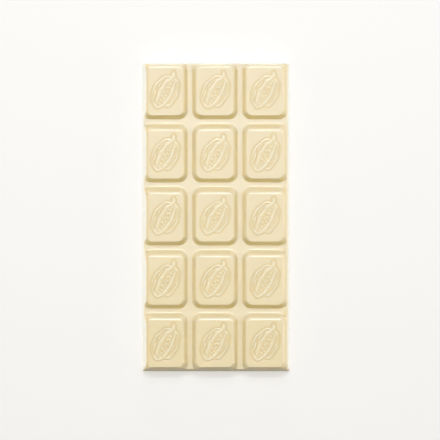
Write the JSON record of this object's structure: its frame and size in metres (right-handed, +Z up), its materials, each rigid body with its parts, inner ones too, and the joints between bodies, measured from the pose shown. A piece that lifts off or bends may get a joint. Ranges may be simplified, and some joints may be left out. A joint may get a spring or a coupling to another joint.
{
  "type": "chocolate bar",
  "caption": "White chocolate tablet with a flat back and a moulded side of rounded, bevelled blocks, each with a cocoa pod in low relief.",
  "frame": {"origin": "middle of the flat back, on the surface the bar lies on", "axes": "+Z up out of the moulded side, +Y along the bar towards the pods' stems, +X across the columns"},
  "size_m": [0.074, 0.1546, 0.0084],
  "materials": {
    "white_chocolate": "smooth moulded white chocolate, ivory to pale yellow, soft sheen, slightly translucent"
  },
  "bodies": {
    "root": {"chocolate_bar": "white_chocolate"}
  },
  "joints": []
}
